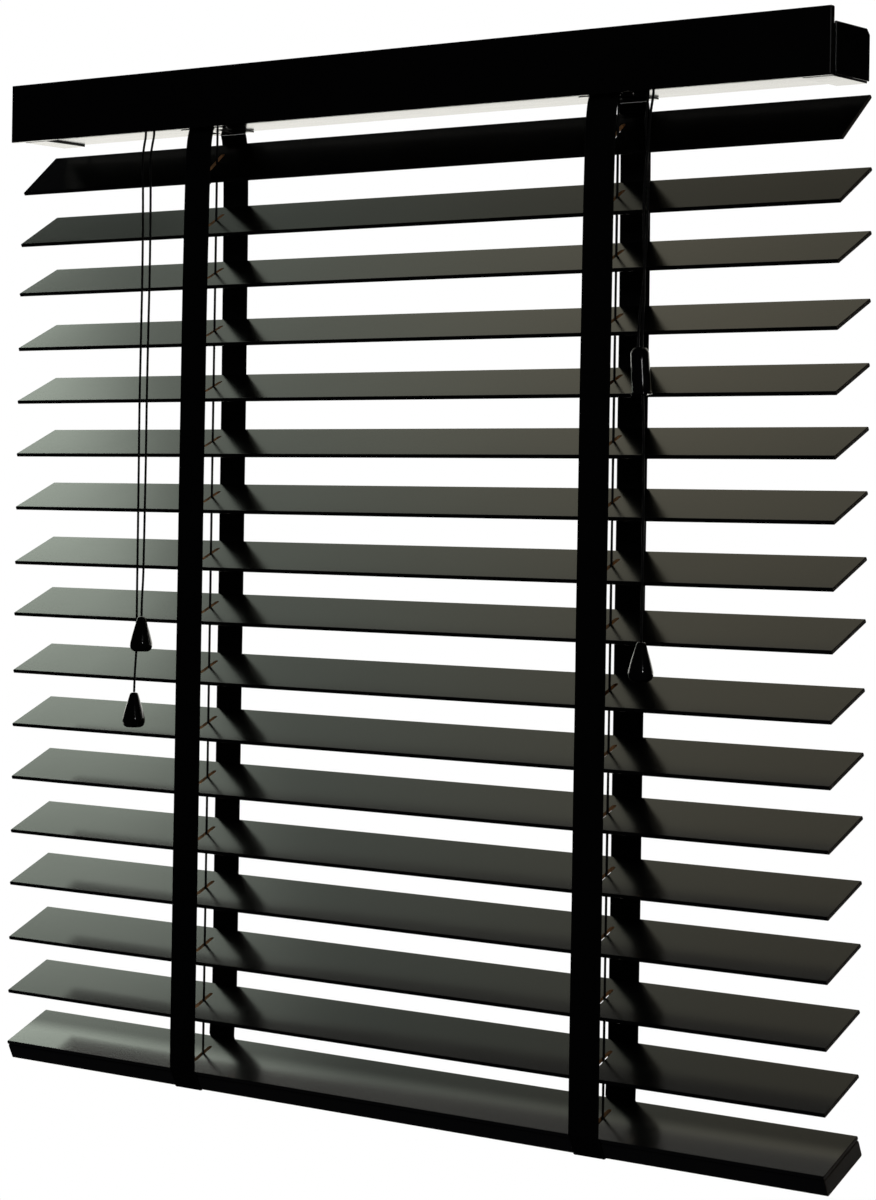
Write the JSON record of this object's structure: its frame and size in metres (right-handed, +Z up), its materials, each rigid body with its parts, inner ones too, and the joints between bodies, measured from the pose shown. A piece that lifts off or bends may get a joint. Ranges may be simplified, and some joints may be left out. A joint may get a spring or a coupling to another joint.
{
  "type": "venetian blind",
  "caption": "Wooden venetian blind with wide ladder tapes, hung slats over a bottom rail, cord tilt on one side and a locking lift cord on the other.",
  "frame": {"origin": "midway between the two brackets, in the plane of their top faces, above the line through the slats' centres", "axes": "+X along the slats to the right as seen from the room, +Y towards the window, +Z up"},
  "size_m": [0.7835, 0.0739, 0.8069],
  "materials": {
    "slat_lacquer": "black high-gloss lacquer on thin wood",
    "valance_lacquer": "black gloss lacquer on wood",
    "black_steel": "black gloss enamel on thin steel",
    "black_plastic": "black moulded plastic, satin",
    "gloss_plastic": "black moulded plastic, high gloss",
    "ladder_tape": "black woven cotton tape",
    "cord": "black braided polyester cord",
    "clear_nylon": "light grey moulded nylon",
    "zinced_steel": "zinc-plated steel"
  },
  "bodies": {
    "headrail_assembly": {"headrail": "black_steel", "valance": "valance_lacquer", "bracket_left": "black_steel", "bracket_right": "black_steel", "end_cover_left": "black_plastic", "end_cover_right": "black_plastic", "tilter_housing": "black_plastic", "ladder_cradle_left": "black_plastic", "ladder_cradle_right": "black_plastic", "cord_lock": "black_plastic", "ladder_tape_left": "ladder_tape", "ladder_tape_right": "ladder_tape", "tilt_cord_near": "cord", "tilt_cord_far": "cord", "lift_cord_left": "cord", "lift_cord_right": "cord"},
    "tilt_shaft": {"tilt_rod": "zinced_steel", "ladder_drum_left": "clear_nylon", "ladder_drum_right": "clear_nylon"},
    "tilter_worm_pulley": {"tilter_worm_pulley": "clear_nylon"},
    "cord_lock_roller": {"cord_lock_roller": "zinced_steel"},
    "lift_pull": {"cord_joiner": "gloss_plastic", "lift_tassel": "gloss_plastic"},
    "tilt_pull_near": {"tilt_tassel_near": "gloss_plastic"},
    "tilt_pull_far": {"tilt_tassel_far": "gloss_plastic"},
    "rail_carriage": {"lift_cord_inner_left": "cord", "lift_cord_inner_right": "cord"},
    "bottom_rail_assembly": {"slat_17": "slat_lacquer", "bottom_rail": "slat_lacquer"},
    "slat_01": {"slat_01": "slat_lacquer"},
    "carriage_02": {"ladder_rung_02": "ladder_tape"},
    "slat_02": {"slat_02": "slat_lacquer"},
    "carriage_03": {"ladder_rung_03": "ladder_tape"},
    "slat_03": {"slat_03": "slat_lacquer"},
    "carriage_04": {"ladder_rung_04": "ladder_tape"},
    "slat_04": {"slat_04": "slat_lacquer"},
    "carriage_05": {"ladder_rung_05": "ladder_tape"},
    "slat_05": {"slat_05": "slat_lacquer"},
    "carriage_06": {"ladder_rung_06": "ladder_tape"},
    "slat_06": {"slat_06": "slat_lacquer"},
    "carriage_07": {"ladder_rung_07": "ladder_tape"},
    "slat_07": {"slat_07": "slat_lacquer"},
    "carriage_08": {"ladder_rung_08": "ladder_tape"},
    "slat_08": {"slat_08": "slat_lacquer"},
    "carriage_09": {"ladder_rung_09": "ladder_tape"},
    "slat_09": {"slat_09": "slat_lacquer"},
    "carriage_10": {"ladder_rung_10": "ladder_tape"},
    "slat_10": {"slat_10": "slat_lacquer"},
    "carriage_11": {"ladder_rung_11": "ladder_tape"},
    "slat_11": {"slat_11": "slat_lacquer"},
    "carriage_12": {"ladder_rung_12": "ladder_tape"},
    "slat_12": {"slat_12": "slat_lacquer"},
    "carriage_13": {"ladder_rung_13": "ladder_tape"},
    "slat_13": {"slat_13": "slat_lacquer"},
    "carriage_14": {"ladder_rung_14": "ladder_tape"},
    "slat_14": {"slat_14": "slat_lacquer"},
    "carriage_15": {"ladder_rung_15": "ladder_tape"},
    "slat_15": {"slat_15": "slat_lacquer"},
    "carriage_16": {"ladder_rung_16": "ladder_tape"},
    "slat_16": {"slat_16": "slat_lacquer"}
  },
  "joints": [
    {"name": "bottom_rail_lift", "type": "slide", "parent": "headrail_assembly", "child": "rail_carriage", "axis": [0, 0, 1], "range_m": [0, 0.5488], "deforming": ["ladder_tape_left", "ladder_tape_right", "lift_cord_inner_left", "lift_cord_inner_right"]},
    {"name": "bottom_rail_tilt", "type": "hinge", "parent": "rail_carriage", "child": "bottom_rail_assembly", "pos_m": [0, 0, -0.7708], "axis": [1, 0, 0], "range_deg": [-90, 40]},
    {"name": "tilt_rod_turn", "type": "hinge", "parent": "headrail_assembly", "child": "tilt_shaft", "pos_m": [0, 0, -0.0175], "axis": [1, 0, 0], "range_deg": [-151, 67.5]},
    {"name": "tilter_pulley_turn", "type": "hinge", "parent": "headrail_assembly", "child": "tilter_worm_pulley", "pos_m": [-0.248, 0, -0.027], "axis": [0, 1, 0], "range_deg": [-452, 202]},
    {"name": "tilt_pull_near_slide", "type": "slide", "parent": "headrail_assembly", "child": "tilt_pull_near", "axis": [0, 0, 1], "range_m": [-0.0158, 0.0355], "deforming": ["tilt_cord_near"]},
    {"name": "tilt_pull_far_slide", "type": "slide", "parent": "headrail_assembly", "child": "tilt_pull_far", "axis": [0, 0, 1], "range_m": [-0.0355, 0.0158], "deforming": ["tilt_cord_far"]},
    {"name": "lift_pull_slide", "type": "slide", "parent": "headrail_assembly", "child": "lift_pull", "axis": [0, 0, -1], "range_m": [0, 0.5488], "deforming": ["lift_cord_left", "lift_cord_right"]},
    {"name": "cord_lock_release", "type": "slide", "parent": "headrail_assembly", "child": "cord_lock_roller", "axis": [0.7071, 0, 0.7071], "range_m": [0, 0.004]},
    {"name": "slat_01_tilt", "type": "hinge", "parent": "headrail_assembly", "child": "slat_01", "pos_m": [0, 0, -0.0616], "axis": [1, 0, 0], "range_deg": [-72.5, 32.5]},
    {"name": "slat_02_lift", "type": "slide", "parent": "headrail_assembly", "child": "carriage_02", "axis": [0, 0, 1], "range_m": [0, 0.0288]},
    {"name": "slat_02_tilt", "type": "hinge", "parent": "carriage_02", "child": "slat_02", "pos_m": [0, 0, -0.1079], "axis": [1, 0, 0], "range_deg": [-90.5, 40.5], "deforming": ["ladder_rung_02"]},
    {"name": "slat_03_lift", "type": "slide", "parent": "headrail_assembly", "child": "carriage_03", "axis": [0, 0, 1], "range_m": [0, 0.0571]},
    {"name": "slat_03_tilt", "type": "hinge", "parent": "carriage_03", "child": "slat_03", "pos_m": [0, 0, -0.1502], "axis": [1, 0, 0], "range_deg": [-90.5, 40.5], "deforming": ["ladder_rung_03"]},
    {"name": "slat_04_lift", "type": "slide", "parent": "headrail_assembly", "child": "carriage_04", "axis": [0, 0, 1], "range_m": [0, 0.0922]},
    {"name": "slat_04_tilt", "type": "hinge", "parent": "carriage_04", "child": "slat_04", "pos_m": [0, 0, -0.1961], "axis": [1, 0, 0], "range_deg": [-90.5, 40.5], "deforming": ["ladder_rung_04"]},
    {"name": "slat_05_lift", "type": "slide", "parent": "headrail_assembly", "child": "carriage_05", "axis": [0, 0, 1], "range_m": [0, 0.1267]},
    {"name": "slat_05_tilt", "type": "hinge", "parent": "carriage_05", "child": "slat_05", "pos_m": [0, 0, -0.2402], "axis": [1, 0, 0], "range_deg": [-90.5, 40.5], "deforming": ["ladder_rung_05"]},
    {"name": "slat_06_lift", "type": "slide", "parent": "headrail_assembly", "child": "carriage_06", "axis": [0, 0, 1], "range_m": [0, 0.1614]},
    {"name": "slat_06_tilt", "type": "hinge", "parent": "carriage_06", "child": "slat_06", "pos_m": [0, 0, -0.2839], "axis": [1, 0, 0], "range_deg": [-90.5, 40.5], "deforming": ["ladder_rung_06"]},
    {"name": "slat_07_lift", "type": "slide", "parent": "headrail_assembly", "child": "carriage_07", "axis": [0, 0, 1], "range_m": [0, 0.1965]},
    {"name": "slat_07_tilt", "type": "hinge", "parent": "carriage_07", "child": "slat_07", "pos_m": [0, 0, -0.328], "axis": [1, 0, 0], "range_deg": [-90.5, 40.5], "deforming": ["ladder_rung_07"]},
    {"name": "slat_08_lift", "type": "slide", "parent": "headrail_assembly", "child": "carriage_08", "axis": [0, 0, 1], "range_m": [0, 0.2328]},
    {"name": "slat_08_tilt", "type": "hinge", "parent": "carriage_08", "child": "slat_08", "pos_m": [0, 0, -0.3733], "axis": [1, 0, 0], "range_deg": [-90.5, 40.5], "deforming": ["ladder_rung_08"]},
    {"name": "slat_09_lift", "type": "slide", "parent": "headrail_assembly", "child": "carriage_09", "axis": [0, 0, 1], "range_m": [0, 0.2663]},
    {"name": "slat_09_tilt", "type": "hinge", "parent": "carriage_09", "child": "slat_09", "pos_m": [0, 0, -0.4158], "axis": [1, 0, 0], "range_deg": [-90.5, 40.5], "deforming": ["ladder_rung_09"]},
    {"name": "slat_10_lift", "type": "slide", "parent": "headrail_assembly", "child": "carriage_10", "axis": [0, 0, 1], "range_m": [0, 0.3047]},
    {"name": "slat_10_tilt", "type": "hinge", "parent": "carriage_10", "child": "slat_10", "pos_m": [0, 0, -0.4632], "axis": [1, 0, 0], "range_deg": [-90.5, 40.5], "deforming": ["ladder_rung_10"]},
    {"name": "slat_11_lift", "type": "slide", "parent": "headrail_assembly", "child": "carriage_11", "axis": [0, 0, 1], "range_m": [0, 0.34]},
    {"name": "slat_11_tilt", "type": "hinge", "parent": "carriage_11", "child": "slat_11", "pos_m": [0, 0, -0.5075], "axis": [1, 0, 0], "range_deg": [-90.5, 40.5], "deforming": ["ladder_rung_11"]},
    {"name": "slat_12_lift", "type": "slide", "parent": "headrail_assembly", "child": "carriage_12", "axis": [0, 0, 1], "range_m": [0, 0.3745]},
    {"name": "slat_12_tilt", "type": "hinge", "parent": "carriage_12", "child": "slat_12", "pos_m": [0, 0, -0.551], "axis": [1, 0, 0], "range_deg": [-90.5, 40.5], "deforming": ["ladder_rung_12"]},
    {"name": "slat_13_lift", "type": "slide", "parent": "headrail_assembly", "child": "carriage_13", "axis": [0, 0, 1], "range_m": [0, 0.4101]},
    {"name": "slat_13_tilt", "type": "hinge", "parent": "carriage_13", "child": "slat_13", "pos_m": [0, 0, -0.5956], "axis": [1, 0, 0], "range_deg": [-90.5, 40.5], "deforming": ["ladder_rung_13"]},
    {"name": "slat_14_lift", "type": "slide", "parent": "headrail_assembly", "child": "carriage_14", "axis": [0, 0, 1], "range_m": [0, 0.4444]},
    {"name": "slat_14_tilt", "type": "hinge", "parent": "carriage_14", "child": "slat_14", "pos_m": [0, 0, -0.6389], "axis": [1, 0, 0], "range_deg": [-90.5, 40.5], "deforming": ["ladder_rung_14"]},
    {"name": "slat_15_lift", "type": "slide", "parent": "headrail_assembly", "child": "carriage_15", "axis": [0, 0, 1], "range_m": [0, 0.4807]},
    {"name": "slat_15_tilt", "type": "hinge", "parent": "carriage_15", "child": "slat_15", "pos_m": [0, 0, -0.6842], "axis": [1, 0, 0], "range_deg": [-90.5, 40.5], "deforming": ["ladder_rung_15"]},
    {"name": "slat_16_lift", "type": "slide", "parent": "headrail_assembly", "child": "carriage_16", "axis": [0, 0, 1], "range_m": [0, 0.516]},
    {"name": "slat_16_tilt", "type": "hinge", "parent": "carriage_16", "child": "slat_16", "pos_m": [0, 0, -0.7285], "axis": [1, 0, 0], "range_deg": [-90.5, 40.5], "deforming": ["ladder_rung_16"]}
  ],
  "couplings": [
    {"joint": "tilt_rod_turn", "follows": "bottom_rail_tilt", "ratio": 1.6667},
    {"joint": "tilter_pulley_turn", "follows": "bottom_rail_tilt", "ratio": 5},
    {"joint": "tilt_pull_near_slide", "follows": "bottom_rail_tilt", "m_per_rad": -0.0225},
    {"joint": "tilt_pull_far_slide", "follows": "bottom_rail_tilt", "m_per_rad": 0.0225},
    {"joint": "lift_pull_slide", "follows": "bottom_rail_lift", "ratio": 1},
    {"joint": "slat_01_tilt", "follows": "bottom_rail_tilt", "ratio": 0.8},
    {"joint": "slat_02_lift", "follows": "bottom_rail_lift", "ratio": 0.05157},
    {"joint": "slat_02_tilt", "follows": "bottom_rail_tilt", "ratio": 1},
    {"joint": "slat_03_lift", "follows": "bottom_rail_lift", "ratio": 0.10313},
    {"joint": "slat_03_tilt", "follows": "bottom_rail_tilt", "ratio": 1},
    {"joint": "slat_04_lift", "follows": "bottom_rail_lift", "ratio": 0.16709},
    {"joint": "slat_04_tilt", "follows": "bottom_rail_tilt", "ratio": 1},
    {"joint": "slat_05_lift", "follows": "bottom_rail_lift", "ratio": 0.22996},
    {"joint": "slat_05_tilt", "follows": "bottom_rail_tilt", "ratio": 1},
    {"joint": "slat_06_lift", "follows": "bottom_rail_lift", "ratio": 0.29319},
    {"joint": "slat_06_tilt", "follows": "bottom_rail_tilt", "ratio": 1},
    {"joint": "slat_07_lift", "follows": "bottom_rail_lift", "ratio": 0.35714},
    {"joint": "slat_07_tilt", "follows": "bottom_rail_tilt", "ratio": 1},
    {"joint": "slat_08_lift", "follows": "bottom_rail_lift", "ratio": 0.42329},
    {"joint": "slat_08_tilt", "follows": "bottom_rail_tilt", "ratio": 1},
    {"joint": "slat_09_lift", "follows": "bottom_rail_lift", "ratio": 0.48433},
    {"joint": "slat_09_tilt", "follows": "bottom_rail_tilt", "ratio": 1},
    {"joint": "slat_10_lift", "follows": "bottom_rail_lift", "ratio": 0.5543},
    {"joint": "slat_10_tilt", "follows": "bottom_rail_tilt", "ratio": 1},
    {"joint": "slat_11_lift", "follows": "bottom_rail_lift", "ratio": 0.61862},
    {"joint": "slat_11_tilt", "follows": "bottom_rail_tilt", "ratio": 1},
    {"joint": "slat_12_lift", "follows": "bottom_rail_lift", "ratio": 0.68149},
    {"joint": "slat_12_tilt", "follows": "bottom_rail_tilt", "ratio": 1},
    {"joint": "slat_13_lift", "follows": "bottom_rail_lift", "ratio": 0.74636},
    {"joint": "slat_13_tilt", "follows": "bottom_rail_tilt", "ratio": 1},
    {"joint": "slat_14_lift", "follows": "bottom_rail_lift", "ratio": 0.80886},
    {"joint": "slat_14_tilt", "follows": "bottom_rail_tilt", "ratio": 1},
    {"joint": "slat_15_lift", "follows": "bottom_rail_lift", "ratio": 0.875},
    {"joint": "slat_15_tilt", "follows": "bottom_rail_tilt", "ratio": 1},
    {"joint": "slat_16_lift", "follows": "bottom_rail_lift", "ratio": 0.93932},
    {"joint": "slat_16_tilt", "follows": "bottom_rail_tilt", "ratio": 1}
  ]
}
